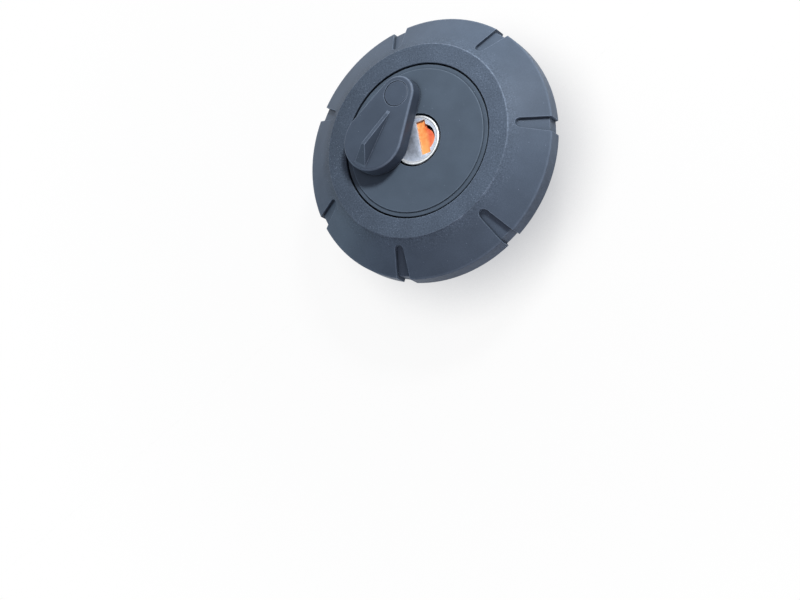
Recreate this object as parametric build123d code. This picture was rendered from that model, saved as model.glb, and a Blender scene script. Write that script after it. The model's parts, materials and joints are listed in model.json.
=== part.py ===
from build123d import *
import math
import os

os.makedirs("parts", exist_ok=True)

# Lengths are in millimetres. Z points up, out of the cap's face, and z = 0 is the face it rests on.
# The cap's axis is the Z axis.

# Grip shell, outside
cap_r = 45.0
skirt_z = 22.0
wall_h = 5.34
cone_h = 8.66
face_ring_w = 6.62
ring_step_w = 0.25
ring_step_h = 0.35
shell_t = 2.5
rim_edge_r = 0.5
ring_edge_r = 0.25
opening_edge_r = 0.25
skirt_edge_r = 0.4

# Grip grooves
groove_count = 7
groove_angle = -90.0
groove_start = 1.86
groove_inner_w = 3.4
groove_outer_w = 5.2
groove_depth = 1.1

# Stiffening ribs under the grip's cone
rib_count = 14
rib_t = 1.2
rib_gap = 0.9
rib_lift = 1.8

# Centre disc
disc_t = 2.6
disc_step_w = 1.45
disc_step_h = 0.4
disc_gap = 0.5
disc_edge_r = 0.25

# Driver sleeve inside the grip
sleeve_in_r = 24.6
sleeve_t = 2.4
shoulder_w = 2.02
shoulder_play = 0.2
sleeve_foot_gap = 0.4
notch_count = 12
notch_side_gap = 0.4
notch_top_gap = 0.4

# Bearing land and glide ring
land_w = 4.0
land_drop = 5.0
glide_t = 0.9
glide_play = 0.1
glide_side_gap = 0.4

# Bayonet insert
sleeve_side_gap = 0.3
plug_wall_t = 1.5
flange_reach = 8.7
flange_t = 2.2
flange_drop = 2.4
rim_w = 1.7
web_t = 1.8
web_lift = 6.0
vent_count = 6
vent_r = 0.9
vent_inset = 1.6
insert_edge_r = 0.5

# Bayonet ears
ear_reach = 5.2
ear_t = 3.2
ear_drop = 4.2
ear_span = 52.0
ear_ramp_span = 16.0
ear_ramp_drop = 1.4
ear_edge_r = 0.5

# Gasket
gasket_t = 2.4
gasket_reach = 8.2
gasket_fit = 0.1
gasket_edge_r = 0.5
gasket_groove_r = 0.45

# Bottom cover, its seal and its screws
cover_disc_t = 2.0
spigot_h = 2.6
spigot_t = 2.6
spigot_fit = 0.2
seal_wire_r = 0.9
seal_lift = 1.4
bottom_edge_r = 0.6
bottom_screw_inset = 6.8
bottom_screw_count = 3
bottom_screw_angle = 30.0
bottom_screw_r = 1.4
bottom_head_r = 2.7
bottom_head_h = 1.5
bottom_head_sink = 0.3
bottom_screw_end_gap = 0.5
screw_boss_r = 3.0
thread_fit = 0.02
screw_pass_gap = 0.2
drive_w = 0.7
drive_l = 2.6
drive_depth = 0.8

# Pressure and vacuum valve
port_r = 6.0
guard_w = 1.2
guard_t = 0.8
valve_plate_r = 9.0
valve_plate_t = 1.0
valve_seal_in_r = 6.6
valve_seal_r = 8.6
valve_seal_t = 0.6
valve_guide_r = 2.6
valve_guide_h = 0.9
stem_hole_r = 1.1
stem_r = 0.9
vacuum_disc_r = 3.6
vacuum_disc_t = 0.7
stem_l = 3.6
stem_neck_r = 0.7
keeper_r = 1.9
keeper_t = 0.4
keeper_fit = 0.03
pressure_spring_r = 6.6
pressure_wire_r = 0.45
pressure_turns = 3.25
vacuum_spring_r = 1.4
vacuum_wire_r = 0.16
vacuum_turns = 3.5
spring_end_gap = 0.05

# Bolt carrier, its lid and the two bolts
carrier_gap = 0.6
carrier_floor_t = 2.2
lid_t = 1.8
bolt_w = 4.0
bolt_t = 2.15
bolt_rest_gap = 0.8
bolt_inner_gap = 0.6
bolt_side_gap = 0.1
bolt_under_gap = 0.05
bolt_top_gap = 0.15
bolt_tip_chamfer = 0.5
bolt_travel = 2.6
follower_r = 0.75
follower_start_r = 4.4
follower_top_gap = 0.2

# Lock cam
cam_r = 8.6
cam_t = 1.6
cam_gap = 0.2
cam_slot_gap = 0.15
cam_pocket_gap = 0.3
cam_turn = 90.0
cam_overturn = 4.0
tail_r = 2.4
tail_flat = 1.8
tail_fit = 0.05
cam_screw_r = 1.1
cam_screw_l = 2.5
cam_head_r = 2.6
cam_head_h = 1.2
cam_head_gap = 0.3

# Core screws
core_screw_count = 3
core_screw_angle = 90.0
core_screw_inset = 6.0
core_screw_r = 1.5
core_head_r = 2.8
core_head_h = 1.6
core_grip_l = 8.0

# Lock housing and bezel
bezel_r = 8.4
bezel_w = 0.8
bezel_h = 1.4
bezel_gap = 0.75
bezel_edge_r = 0.3
housing_r = 8.1
housing_fit = 0.05
housing_flange_h = 1.0
lock_tube_r = 11.0
plug_fit = 0.05
body_r = 6.0
head_step_gap = 0.05
wafer_groove_gap = 0.2

# Lock plug, with its opening square to the blade
plug_angle = 23.2
face_sink = 0.1
face_t = 0.7
chamber_r = 7.25
chamber_h = 7.7
chamber_floor_t = 0.6
straight_edge_u = 1.05
slot_right_u = 4.35
slot_top_v = 5.97
slot_bottom_v = -5.97
opening_rim = 0.3
lobe_u = 1.93
lobe_v = -0.17
lobe_r = 5.0
blade_left_u = 2.2
blade_w = 1.6
blade_half_h = 3.4
blade_floor = 0.6

# Key shutter, its pin and its spring
shutter_t = 0.7
shutter_top_gap = 0.05
shutter_top_v = 5.9
shutter_bottom_v = -5.9
shutter_right_u = 4.3
shutter_lobe_u = 1.9
shutter_lobe_v = -0.9
shutter_lobe_r = 4.45
shutter_rim_gap = 0.15
hinge_u = -0.15
hinge_barrel_r = 0.7
hinge_pin_r = 0.35
hinge_pin_fit = 0.05
hinge_pin_half_l = 7.4
hinge_spring_half_l = 1.3
hinge_spring_gap = 0.25
hinge_wire_r = 0.1
hinge_spring_r = 0.53
hinge_turns = 5.0
chamber_left_gap = 0.3

# Wafers and their springs
wafer_count = 6
wafer_pitch = 1.55
wafer_t = 0.9
wafer_slot_gap = 0.05
wafer_lift = 1.0
wafer_end_gap = 0.05
wafer_left_u = -3.4
wafer_right_u = 5.1
wafer_side_gap = 0.1
wafer_window_gap = 0.1
wafer_travel = 0.7
lug_l = 1.0
lug_half_w = 0.5
lug_pocket_low_v = -3.4
lug_pocket_gap = 0.15
wafer_wire_r = 0.09
wafer_spring_r = 0.3
wafer_turns = 5.0

# Swing cover over the lock
pivot_angle = 119.05
pivot_side_gap = 0.66
swing_axis_angle = -109.9
swing_h = 5.3
swing_play = 0.15
swing_small_r = 6.3
swing_big_r = 11.0
swing_reach = 16.7
swing_wall_t = 1.6
swing_top_t = 1.4
swing_hub_r = 6.0
swing_edge_r = 1.0

# Thumb fin on the cover, along the cover's own axis
fin_tip = 6.2
fin_peak = 19.8
fin_end = 26.3
fin_h = 4.1
fin_ridge_w = 1.3
fin_end_w = 4.8
fin_shift = 0.9
fin_turn = -0.8
fin_sink = 0.4

# Pivot pin, spring washer and clip of the cover
pin_head_r = 4.3
pin_head_h = 1.5
pin_head_gap = 0.15
pin_head_sink = 0.05
pin_r = 2.4
pin_fit = 0.05
pivot_boss_r = 4.0
pivot_boss_h = 2.0
washer_r = 4.3
washer_t = 0.35
washer_h = 1.1
washer_play = 0.08
clip_t = 0.6
clip_r = 4.1
clip_neck_r = 1.9
clip_fit = 0.03
clip_mouth_angle = 70.0
pin_end_l = 1.0

# Stop peg on the disc, inside the cover's hollow
peg_r = 1.0
peg_h = 1.6
peg_reach = 7.6
peg_angle = -101.8

# Room that cutting solids run past a face
over = 3.0

# Places worked out from the sizes
face_z = skirt_z + wall_h + cone_h
wall_top_z = skirt_z + wall_h
sleeve_r = sleeve_in_r + sleeve_t
opening_r = sleeve_in_r + shoulder_w
face_ring_r = opening_r + face_ring_w
groove_reach_r = face_ring_r + groove_start
cone_slope = (cone_h - ring_step_h) / (cap_r - face_ring_r - ring_step_w)
cone_stretch = math.sqrt(1 + cone_slope ** 2)
disc_r = opening_r - disc_gap
disc_step_r = disc_r - disc_step_w
disc_under_z = face_z - disc_t
shoulder_z = disc_under_z - shoulder_play
land_r = sleeve_r + land_w
land_z = face_z - land_drop
rim_top_z = land_z - glide_play - glide_t
web_z = cover_disc_t + web_lift
web_top_z = web_z + web_t
carrier_floor_z = web_top_z + carrier_floor_t
carrier_top_z = carrier_floor_z + bolt_under_gap + bolt_t + bolt_top_gap
lid_top_z = carrier_top_z + lid_t
sleeve_foot_z = web_top_z + sleeve_foot_gap
plug_wall_in_r = sleeve_r + sleeve_side_gap
plug_wall_r = plug_wall_in_r + plug_wall_t
rim_r = plug_wall_r + rim_w
flange_r = plug_wall_r + flange_reach
rib_in_r = flange_r + rib_gap
gasket_r = plug_wall_r + gasket_reach
ear_r = plug_wall_r + ear_reach
vent_ring_r = plug_wall_in_r - vent_inset
bottom_screw_ring_r = plug_wall_in_r - bottom_screw_inset
carrier_r = sleeve_in_r - carrier_gap
bolt_rest_r = sleeve_in_r - bolt_rest_gap
core_screw_ring_r = carrier_r - core_screw_inset
flange_top_z = rim_top_z - flange_drop
flange_z = flange_top_z - flange_t
gasket_z = flange_z - gasket_t
ear_top_z = skirt_z - ear_drop
bolt_z = carrier_floor_z + bolt_under_gap
bolt_top_z = bolt_z + bolt_t
cam_z = lid_top_z - cam_gap - cam_t
cam_top_z = cam_z + cam_t
plug_top_z = face_z - face_sink
face_under_z = plug_top_z - face_t
chamber_z = face_under_z - chamber_h
head_z = chamber_z - chamber_floor_t
head_r = bezel_r - bezel_w - plug_fit
bezel_z = face_z - bezel_h
flange_seat_z = bezel_z - housing_flange_h
hinge_z = face_under_z - shutter_top_gap - shutter_t
pivot_ring_r = lock_tube_r + washer_r + pivot_side_gap
pivot_x = pivot_ring_r * math.cos(math.radians(pivot_angle))
pivot_y = pivot_ring_r * math.sin(math.radians(pivot_angle))
swing_z = face_z + swing_play
swing_top_z = face_z + swing_h
pin_seat_z = swing_top_z - pin_head_sink - pin_head_h
boss_foot_z = disc_under_z - pivot_boss_h
washer_z = boss_foot_z - washer_play - washer_h
valve_plate_z = cover_disc_t + valve_seal_t
valve_plate_top_z = valve_plate_z + valve_plate_t
lug_u = wafer_left_u - lug_l


def save(shape, node):
    """Writes one sub-part to its own file."""
    solids = shape.solids()
    body = solids[0] if len(solids) == 1 else Compound(children=list(solids))
    export_step(body, os.path.join("parts", node + ".step"))


def barrel(radius, low, high):
    """A round solid on the cap's axis, between two heights."""
    return Pos(0, 0, low) * Cylinder(radius, high - low, align=(Align.CENTER, Align.CENTER, Align.MIN))


def ring(outer, inner, low, high):
    """A round solid with a bore, between two heights."""
    return barrel(outer, low, high) - barrel(inner, low - over, high + over)


def block(low, high):
    """A box between two corners."""
    size = [b - a for a, b in zip(low, high)]
    return Pos(*low) * Box(*size, align=(Align.MIN, Align.MIN, Align.MIN))


def rise(sketch, low, high):
    """Raises a flat sketch between two heights."""
    return Pos(0, 0, low) * extrude(sketch, amount=high - low)


def around(count, start, shape):
    """Copies of a shape, evenly spaced about the cap's axis."""
    return [Rot(0, 0, start + k * 360 / count) * shape for k in range(count)]


def cut_all(body, tools):
    """Takes every tool away from the body."""
    for tool in tools:
        body = body - tool
    return body


def join_all(body, pieces):
    """Joins every piece to the body."""
    for piece in pieces:
        body = body + piece
    return body


def spun(points, rounds=()):
    """Turns an outline of (radius, height) points about the axis, with some corners rounded."""
    face = Polygon(*points, align=None)
    for corner, radius in rounds:
        spot = Vector(*corner)
        vertex = min(face.vertices(), key=lambda v: (Vector(*v) - spot).length)
        face = fillet(vertex, radius)
    return revolve(Plane.XZ * face, axis=Axis.Z)


def coil(mean_r, wire_r, low, high, turns):
    """A helical spring on the axis, between two heights."""
    rise_h = high - low - 2 * wire_r
    path = Helix(pitch=rise_h / turns, height=rise_h, radius=mean_r)
    wire = sweep(Plane(origin=path @ 0, z_dir=path % 0) * Circle(wire_r), path=path, is_frenet=True)
    return Pos(0, 0, low + wire_r) * wire


def cross_slot(low, high):
    """The cross recess of a screw head."""
    one = block((-drive_l / 2, -drive_w / 2, low), (drive_l / 2, drive_w / 2, high))
    return one + Rot(0, 0, 90) * one


def cone_line_z(radius, depth):
    """Height of the cone at a radius, taken a depth below its surface."""
    return wall_top_z + (cap_r - radius) * cone_slope - depth * cone_stretch


def cone_line_r(height, depth):
    """Radius where the line of cone_line_z reaches a height."""
    return cap_r - (height + depth * cone_stretch - wall_top_z) / cone_slope


# Grip shell: skirt, cone, flat ring, shoulder and driver sleeve in one moulding
def make_grip_shell():
    under_z = face_z - shell_t
    skirt_in_r = cap_r - shell_t
    outline = [
        (cap_r, skirt_z),
        (cap_r, wall_top_z),
        (face_ring_r + ring_step_w, face_z - ring_step_h),
        (face_ring_r, face_z),
        (opening_r, face_z),
        (opening_r, shoulder_z),
        (sleeve_in_r, shoulder_z),
        (sleeve_in_r, sleeve_foot_z),
        (sleeve_r, sleeve_foot_z),
        (sleeve_r, land_z),
        (land_r, land_z),
        (land_r, under_z),
        (cone_line_r(under_z, shell_t), under_z),
        (skirt_in_r, cone_line_z(skirt_in_r, shell_t)),
        (skirt_in_r, skirt_z),
    ]
    rounds = [
        ((cap_r, wall_top_z), rim_edge_r),
        ((face_ring_r, face_z), ring_edge_r),
        ((opening_r, face_z), opening_edge_r),
        ((cap_r, skirt_z), skirt_edge_r),
    ]
    shell = spun(outline, rounds)
    rib = block((rib_in_r, -rib_t / 2, skirt_z + rib_lift), (cap_r - shell_t / 2, rib_t / 2, face_z))
    rib = rib - spun([
        (rib_in_r - over, cone_line_z(rib_in_r - over, shell_t / 2)),
        (cap_r, cone_line_z(cap_r, shell_t / 2)),
        (cap_r, face_z + over),
        (rib_in_r - over, face_z + over),
    ])
    shell = join_all(shell, around(rib_count, groove_angle + 180 / rib_count, rib))
    end_r = groove_inner_w / 2
    corners = [
        (groove_reach_r + end_r, end_r),
        (cap_r, groove_outer_w / 2),
        (cap_r + over, groove_outer_w / 2),
        (cap_r + over, -groove_outer_w / 2),
        (cap_r, -groove_outer_w / 2),
        (groove_reach_r + end_r, -end_r),
    ]
    round_end = ThreePointArc(corners[-1], (groove_reach_r, 0), corners[0])
    plan = make_face([*Polyline(corners).edges(), round_end])
    floor_r = cap_r - groove_depth
    floor_body = spun([
        (0, skirt_z - over),
        (floor_r, skirt_z - over),
        (floor_r, cone_line_z(floor_r, groove_depth)),
        (cone_line_r(face_z + over, groove_depth), face_z + over),
        (0, face_z + over),
    ])
    groove = rise(plan, skirt_z - over, face_z + over / 2) - floor_body
    shell = cut_all(shell, around(groove_count, groove_angle, groove))
    half_w = bolt_w / 2 + notch_side_gap
    notch = block(
        (sleeve_in_r - over, -half_w, sleeve_foot_z - over),
        (sleeve_r + over, half_w, bolt_top_z + notch_top_gap),
    )
    return cut_all(shell, around(notch_count, 0, notch))


# Glide ring that the grip turns on
def make_glide_ring():
    return ring(land_r, sleeve_r + glide_side_gap, rim_top_z, rim_top_z + glide_t)


# Centre disc with lock tube, screw bosses, pivot boss and stop peg
def make_centre_disc():
    step_z = face_z - disc_step_h
    outline = [
        (0, disc_under_z),
        (disc_r, disc_under_z),
        (disc_r, step_z),
        (disc_step_r, step_z),
        (disc_step_r, face_z),
        (0, face_z),
    ]
    disc = spun(outline, [((disc_step_r, face_z), disc_edge_r), ((disc_r, step_z), disc_edge_r)])
    disc = disc + barrel(lock_tube_r, lid_top_z, face_z - disc_t / 2)
    boss = Pos(core_screw_ring_r, 0, 0) * barrel(screw_boss_r, lid_top_z, face_z - disc_t / 2)
    disc = join_all(disc, around(core_screw_count, core_screw_angle, boss))
    disc = disc + Pos(pivot_x, pivot_y, 0) * barrel(pivot_boss_r, boss_foot_z, face_z - disc_t / 2)
    disc = disc - barrel(housing_r + housing_fit, lid_top_z - over, face_z)
    disc = disc - barrel(bezel_r + bezel_gap, flange_seat_z, face_z + over)
    disc = disc - Pos(pivot_x, pivot_y, 0) * barrel(pin_r + pin_fit, boss_foot_z - over, face_z + over)
    pilot = Pos(core_screw_ring_r, 0, 0) * barrel(
        core_screw_r + thread_fit, lid_top_z - over, lid_top_z + core_grip_l + screw_pass_gap
    )
    disc = cut_all(disc, around(core_screw_count, core_screw_angle, pilot))
    peg = Pos(pivot_x, pivot_y, 0) * Rot(0, 0, peg_angle) * Pos(peg_reach, 0, 0)
    return disc + peg * barrel(peg_r, face_z - disc_t / 2, face_z + peg_h)


def teardrop(small_r, big_r, reach):
    """Two circles and the straight sides that touch both, the small one at the origin."""
    sine = (big_r - small_r) / reach
    cosine = math.sqrt(1 - sine ** 2)
    small = (-small_r * sine, small_r * cosine)
    big = (reach - big_r * sine, big_r * cosine)
    return make_face([
        Line(small, big),
        ThreePointArc(big, (reach + big_r, 0), (big[0], -big[1])),
        Line((big[0], -big[1]), (small[0], -small[1])),
        ThreePointArc((small[0], -small[1]), (-small_r, 0), small),
    ])


def polyhedron(faces):
    """A solid bounded by flat faces, each a list of corners."""
    return Solid(Shell([Face(Wire.make_polygon([Vector(*p) for p in face])) for face in faces]))


# Thumb fin: a ridge that climbs from a point and ends in a sloping facet
def make_fin():
    half_ridge = fin_ridge_w / 2
    half_end = fin_end_w / 2
    base = -fin_sink
    tip = [(fin_tip, half_ridge, 0), (fin_tip, -half_ridge, 0)]
    foot_tip = [(fin_tip, half_ridge, base), (fin_tip, -half_ridge, base)]
    peak = [(fin_peak, half_ridge, fin_h), (fin_peak, -half_ridge, fin_h)]
    end = [(fin_end, half_end, 0), (fin_end, -half_end, 0)]
    foot_end = [(fin_end, half_end, base), (fin_end, -half_end, base)]
    fin = polyhedron([
        [tip[0], tip[1], peak[1], peak[0]],
        [peak[0], peak[1], end[1], end[0]],
        [tip[0], peak[0], end[0]],
        [tip[1], end[1], peak[1]],
        [tip[0], end[0], foot_end[0], foot_tip[0]],
        [tip[1], foot_tip[1], foot_end[1], end[1]],
        [tip[0], foot_tip[0], foot_tip[1], tip[1]],
        [end[0], end[1], foot_end[1], foot_end[0]],
        [foot_tip[0], foot_end[0], foot_end[1], foot_tip[1]],
    ])
    return Pos(0, fin_shift, 0) * Rot(0, 0, fin_turn) * fin


# Swing cover: hollow below, with a hub round the pivot and the thumb fin on top
def make_dust_cover():
    shell = rise(teardrop(swing_small_r, swing_big_r, swing_reach), swing_z, swing_top_z)
    top_face = shell.faces().sort_by(Axis.Z)[-1]
    shell = fillet(top_face.edges(), swing_edge_r)
    hollow = teardrop(swing_small_r - swing_wall_t, swing_big_r - swing_wall_t, swing_reach)
    hollow = hollow - Circle(swing_hub_r)
    shell = shell - rise(hollow, swing_z - over, swing_top_z - swing_top_t)
    shell = shell + Pos(0, 0, swing_top_z) * make_fin()
    shell = shell - barrel(pin_head_r + pin_head_gap, pin_seat_z, swing_top_z + over)
    shell = shell - barrel(pin_r + pin_fit, swing_z - over, swing_top_z)
    return Pos(pivot_x, pivot_y, 0) * Rot(0, 0, swing_axis_angle) * shell


def make_cover_pivot_pin():
    clip_z = washer_z - clip_t
    outline = [
        (0, clip_z - pin_end_l),
        (pin_r, clip_z - pin_end_l),
        (pin_r, clip_z),
        (clip_neck_r, clip_z),
        (clip_neck_r, washer_z),
        (pin_r, washer_z),
        (pin_r, pin_seat_z),
        (pin_head_r, pin_seat_z),
        (pin_head_r, pin_seat_z + pin_head_h),
        (0, pin_seat_z + pin_head_h),
    ]
    pin = spun(outline, [((pin_head_r, pin_seat_z + pin_head_h), disc_edge_r)])
    return Pos(pivot_x, pivot_y, 0) * pin


def make_cover_spring_washer():
    inner_r = pin_r + pin_fit
    outline = [
        (inner_r, washer_z),
        (inner_r + washer_t, washer_z),
        (washer_r, washer_z + washer_h - washer_t),
        (washer_r, washer_z + washer_h),
        (washer_r - washer_t, washer_z + washer_h),
        (inner_r, washer_z + washer_t),
    ]
    return Pos(pivot_x, pivot_y, 0) * spun(outline)


def make_cover_retaining_clip():
    clip = ring(clip_r, clip_neck_r + clip_fit, washer_z - clip_t, washer_z)
    reach = clip_r + over
    half = math.radians(clip_mouth_angle / 2)
    mouth = Polygon(
        (0, 0),
        (reach, reach * math.tan(half)),
        (reach, -reach * math.tan(half)),
        align=None,
    )
    clip = clip - rise(mouth, washer_z - clip_t - over, washer_z + over)
    return Pos(pivot_x, pivot_y, 0) * Rot(0, 0, swing_axis_angle) * clip


# Lock housing and the bright ring on it
def wafer_plan(grow):
    """The flat outline that a wafer fills in the plug, made larger or smaller by a clearance."""
    radius = body_r - wafer_end_gap + grow
    band = Rectangle(wafer_right_u - wafer_left_u + 2 * grow, 2 * radius, align=(Align.MIN, Align.CENTER))
    return Circle(radius) & Pos(wafer_left_u - grow, 0) * band


def make_lock_housing():
    housing = barrel(housing_r, lid_top_z, bezel_z) + barrel(bezel_r, flange_seat_z, bezel_z)
    housing = housing - barrel(body_r + plug_fit, lid_top_z - over, bezel_z)
    housing = housing - barrel(head_r + plug_fit, head_z - head_step_gap, bezel_z + over)
    groove_top_z = lid_top_z + wafer_lift + wafer_count * wafer_pitch
    groove = Pos(0, wafer_travel) * wafer_plan(wafer_groove_gap)
    return housing - Rot(0, 0, plug_angle) * rise(groove, lid_top_z - over, groove_top_z)


def make_lock_bezel():
    inner_r = bezel_r - bezel_w
    outline = [(inner_r, bezel_z), (bezel_r, bezel_z), (bezel_r, face_z), (inner_r, face_z)]
    return spun(outline, [((bezel_r, face_z), bezel_edge_r), ((inner_r, face_z), bezel_edge_r)])


# Lock plug: face with the key opening, shutter chamber, wafer slots and tail
def face_opening():
    slot = Polygon(
        (straight_edge_u, slot_bottom_v),
        (slot_right_u, slot_bottom_v),
        (slot_right_u, slot_top_v),
        (straight_edge_u, slot_top_v),
        align=None,
    )
    right_half = Pos(straight_edge_u, 0) * Rectangle(
        head_r, 2 * head_r, align=(Align.MIN, Align.CENTER)
    )
    lobe = Pos(lobe_u, lobe_v) * Circle(lobe_r) & right_half
    return (slot + lobe) & Circle(head_r - opening_rim)


def tail_plan(grow):
    """The round tail with two flats."""
    band = Rectangle(2 * (tail_r + grow), 2 * (tail_flat + grow))
    return Circle(tail_r + grow) & band


def wafer_z(index):
    """Height of the underside of a wafer."""
    return lid_top_z + wafer_lift + index * wafer_pitch


def make_lock_plug():
    plug = barrel(head_r, head_z, plug_top_z) + barrel(body_r, lid_top_z, head_z)
    plug = plug + rise(tail_plan(0), cam_z, lid_top_z)
    chamber = Pos(hinge_u - hinge_barrel_r - chamber_left_gap, 0) * Rectangle(
        2 * chamber_r, 2 * chamber_r, align=(Align.MIN, Align.CENTER)
    )
    plug = plug - rise(chamber & Circle(chamber_r), chamber_z, face_under_z)
    plug = plug - rise(face_opening(), face_under_z - over / 2, plug_top_z + over)
    blade = block(
        (blade_left_u, -blade_half_h, lid_top_z + blade_floor),
        (blade_left_u + blade_w, blade_half_h, chamber_z + over / 2),
    )
    plug = plug - blade
    slot_left_u = wafer_left_u - wafer_side_gap
    slot_right = wafer_right_u + wafer_side_gap
    pocket_high_v = lug_half_w + wafer_travel + lug_pocket_gap
    for index in range(wafer_count):
        low = wafer_z(index) - wafer_slot_gap
        high = wafer_z(index) + wafer_t + wafer_slot_gap
        plug = plug - block((slot_left_u, -2 * body_r, low), (slot_right, 2 * body_r, high))
        pocket_low = (lug_u - wafer_side_gap, lug_pocket_low_v, low)
        plug = plug - block(pocket_low, (slot_left_u, pocket_high_v, high))
    hinge_hole = Pos(hinge_u, 0, hinge_z) * Rot(90, 0, 0) * Cylinder(hinge_pin_r, 2 * hinge_pin_half_l)
    plug = plug - hinge_hole
    plug = plug - barrel(cam_screw_r + thread_fit, cam_z - over, cam_z + cam_screw_l + screw_pass_gap)
    return Rot(0, 0, plug_angle) * plug


# Shutter that closes the key opening from below
def make_key_shutter():
    top_z = hinge_z + shutter_t
    plan = Polygon(
        (hinge_u, shutter_bottom_v),
        (shutter_right_u, shutter_bottom_v),
        (shutter_right_u, shutter_top_v),
        (hinge_u, shutter_top_v),
        align=None,
    )
    right_half = Pos(hinge_u, 0) * Rectangle(head_r, 2 * head_r, align=(Align.MIN, Align.CENTER))
    plan = plan + (Pos(shutter_lobe_u, shutter_lobe_v) * Circle(shutter_lobe_r) & right_half)
    plan = plan & Circle(chamber_r - shutter_rim_gap)
    shutter = rise(plan, hinge_z, top_z)
    length = shutter_top_v - shutter_bottom_v
    middle_v = (shutter_top_v + shutter_bottom_v) / 2
    axis_place = Pos(hinge_u, middle_v, hinge_z) * Rot(90, 0, 0)
    shutter = shutter + axis_place * Cylinder(hinge_barrel_r, length)
    spring_half = hinge_spring_half_l + hinge_spring_gap
    reach = hinge_barrel_r + hinge_spring_gap
    gap = block(
        (hinge_u - reach, -spring_half, hinge_z - reach),
        (hinge_u + reach, spring_half, top_z + over),
    )
    shutter = shutter - gap
    shutter = shutter - axis_place * Cylinder(hinge_pin_r + hinge_pin_fit, length + over)
    return Rot(0, 0, plug_angle) * shutter


def make_shutter_pin():
    pin = Pos(hinge_u, 0, hinge_z) * Rot(90, 0, 0) * Cylinder(hinge_pin_r, 2 * hinge_pin_half_l)
    return Rot(0, 0, plug_angle) * pin


def make_shutter_spring():
    wire = coil(hinge_spring_r, hinge_wire_r, -hinge_spring_half_l, hinge_spring_half_l, hinge_turns)
    return Rot(0, 0, plug_angle) * Pos(hinge_u, 0, hinge_z) * Rot(90, 0, 0) * wire


# Wafers and their springs
def make_wafer(index):
    plan = wafer_plan(0)
    window_w = blade_w + 2 * wafer_window_gap
    window = Rectangle(window_w, 2 * (blade_half_h + wafer_window_gap), align=(Align.MIN, Align.CENTER))
    plan = plan - Pos(blade_left_u - wafer_window_gap, 0) * window
    lug = Pos(lug_u, 0) * Rectangle(
        lug_l + wafer_end_gap, 2 * lug_half_w, align=(Align.MIN, Align.CENTER)
    )
    low = wafer_z(index)
    return Rot(0, 0, plug_angle) * rise(plan + lug, low, low + wafer_t)


def make_wafer_springs():
    springs = []
    for index in range(wafer_count):
        wire = coil(
            wafer_spring_r,
            wafer_wire_r,
            lug_half_w + spring_end_gap,
            -lug_pocket_low_v - spring_end_gap,
            wafer_turns,
        )
        place = Pos(wafer_left_u - lug_l / 2, 0, wafer_z(index) + wafer_t / 2) * Rot(90, 0, 0)
        springs.append(Rot(0, 0, plug_angle) * place * wire)
    return Compound(children=springs)


# Scroll cam with two spiral slots that drive the bolts
def spiral_point(angle, shift):
    """A point of the spiral at a cam angle in degrees, moved outwards by a shift."""
    radius = follower_start_r + bolt_travel * angle / cam_turn + shift
    around_angle = math.radians(-angle)
    return (radius * math.cos(around_angle), radius * math.sin(around_angle))


def make_lock_cam():
    half_w = follower_r + cam_slot_gap
    span = cam_turn + 2 * cam_overturn
    steps = 8
    angles = [-cam_overturn + span * k / steps for k in range(steps + 1)]
    outer = Spline([spiral_point(angle, half_w) for angle in angles])
    inner = Spline([spiral_point(angle, -half_w) for angle in angles])
    slot = make_face([outer, inner, Line(outer @ 0, inner @ 0), Line(outer @ 1, inner @ 1)])
    slot = slot + Pos(*spiral_point(angles[0], 0)) * Circle(half_w)
    slot = slot + Pos(*spiral_point(angles[-1], 0)) * Circle(half_w)
    cam = barrel(cam_r, cam_z, cam_top_z)
    cam = cut_all(cam, around(2, 0, rise(slot, cam_z - over, cam_top_z + over)))
    return cam - Rot(0, 0, plug_angle) * rise(tail_plan(tail_fit), cam_z - over, cam_top_z + over)


def make_cam_screw():
    head = barrel(cam_head_r, cam_z - cam_head_h, cam_z)
    screw = head + barrel(cam_screw_r, cam_z - cam_head_h / 2, cam_z + cam_screw_l)
    return screw - cross_slot(cam_z - cam_head_h - over, cam_z - cam_head_h + drive_depth)


# Bolts, their carrier and its lid
def make_lock_bolt(angle):
    inner_r = cam_head_r + bolt_inner_gap
    bolt = block((inner_r, -bolt_w / 2, bolt_z), (bolt_rest_r, bolt_w / 2, bolt_top_z))
    tip_edges = bolt.edges().filter_by(Axis.Z).sort_by(Axis.X)[-2:]
    bolt = chamfer(tip_edges, bolt_tip_chamfer)
    follower = barrel(follower_r, bolt_z + bolt_t / 2, cam_top_z - follower_top_gap)
    return Rot(0, 0, angle) * (bolt + Pos(follower_start_r, 0, 0) * follower)


def core_screw_holes():
    """Clearance holes for the screws that hold the core together."""
    pass_r = core_screw_r + screw_pass_gap
    hole = Pos(core_screw_ring_r, 0, 0) * barrel(pass_r, web_z - over, lid_top_z + over)
    return around(core_screw_count, core_screw_angle, hole)


def make_bolt_carrier():
    carrier = barrel(carrier_r, web_top_z, carrier_top_z)
    half_w = bolt_w / 2 + bolt_side_gap
    carrier = carrier - block(
        (-2 * carrier_r, -half_w, carrier_floor_z), (2 * carrier_r, half_w, carrier_top_z + over)
    )
    carrier = carrier - barrel(cam_r + cam_pocket_gap, cam_z - cam_gap, carrier_top_z + over)
    head_floor_z = cam_z - cam_head_h - cam_head_gap
    carrier = carrier - barrel(cam_head_r + cam_head_gap, head_floor_z, carrier_top_z + over)
    return cut_all(carrier, core_screw_holes())


def make_carrier_lid():
    lid = ring(carrier_r, cam_r + cam_pocket_gap, carrier_top_z, lid_top_z)
    return cut_all(lid, core_screw_holes())


def make_core_screws():
    head = barrel(core_head_r, web_z - core_head_h, web_z)
    screw = head + barrel(core_screw_r, web_z - core_head_h / 2, lid_top_z + core_grip_l)
    foot_z = web_z - core_head_h
    screw = screw - cross_slot(foot_z - over, foot_z + drive_depth)
    screws = around(core_screw_count, core_screw_angle, Pos(core_screw_ring_r, 0, 0) * screw)
    return Compound(children=screws)


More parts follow.
